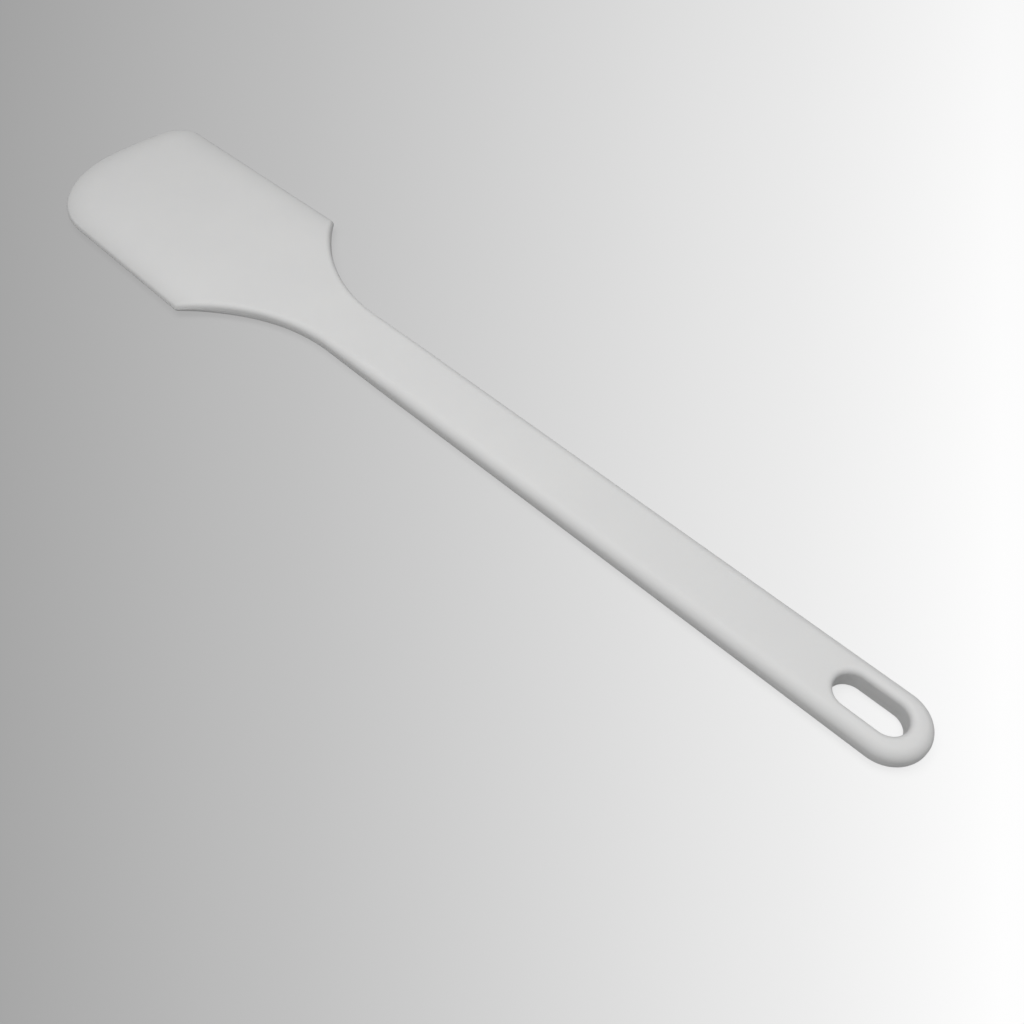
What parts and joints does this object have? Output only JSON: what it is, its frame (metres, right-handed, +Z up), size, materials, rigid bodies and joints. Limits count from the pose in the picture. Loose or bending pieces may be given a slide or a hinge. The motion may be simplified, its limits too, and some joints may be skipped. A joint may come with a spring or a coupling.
{
  "type": "silicone spatula",
  "caption": "Flat silicone spatula with a stiffened handle, a hanging slot at its round end and a flexible blade with a large and a tight tip corner.",
  "frame": {"origin": "bottom centre of the bounding box, on the surface that the spatula lies on", "axes": "+X from the handle end to the blade tip, +Y to the left seen from the handle, on the side of the large tip corner, +Z up through the thickness"},
  "size_m": [0.26, 0.0484, 0.0055],
  "materials": {
    "silicone_handle": "matte white moulded silicone rubber",
    "silicone_blade": "matte white moulded silicone rubber",
    "nylon_core": "natural glass-filled nylon, hidden inside the silicone"
  },
  "bodies": {
    "handle": {"silicone_sleeve": "silicone_handle", "stiffening_core": "nylon_core"},
    "blade": {"silicone_blade": "silicone_blade"}
  },
  "joints": [
    {"name": "blade_flex", "type": "hinge", "parent": "handle", "child": "blade", "pos_m": [0.06326, 0, 0.00275], "axis": [0, -1, 0], "range_deg": [-35, 35], "stiffness_Nm_per_rad": 0.02}
  ]
}
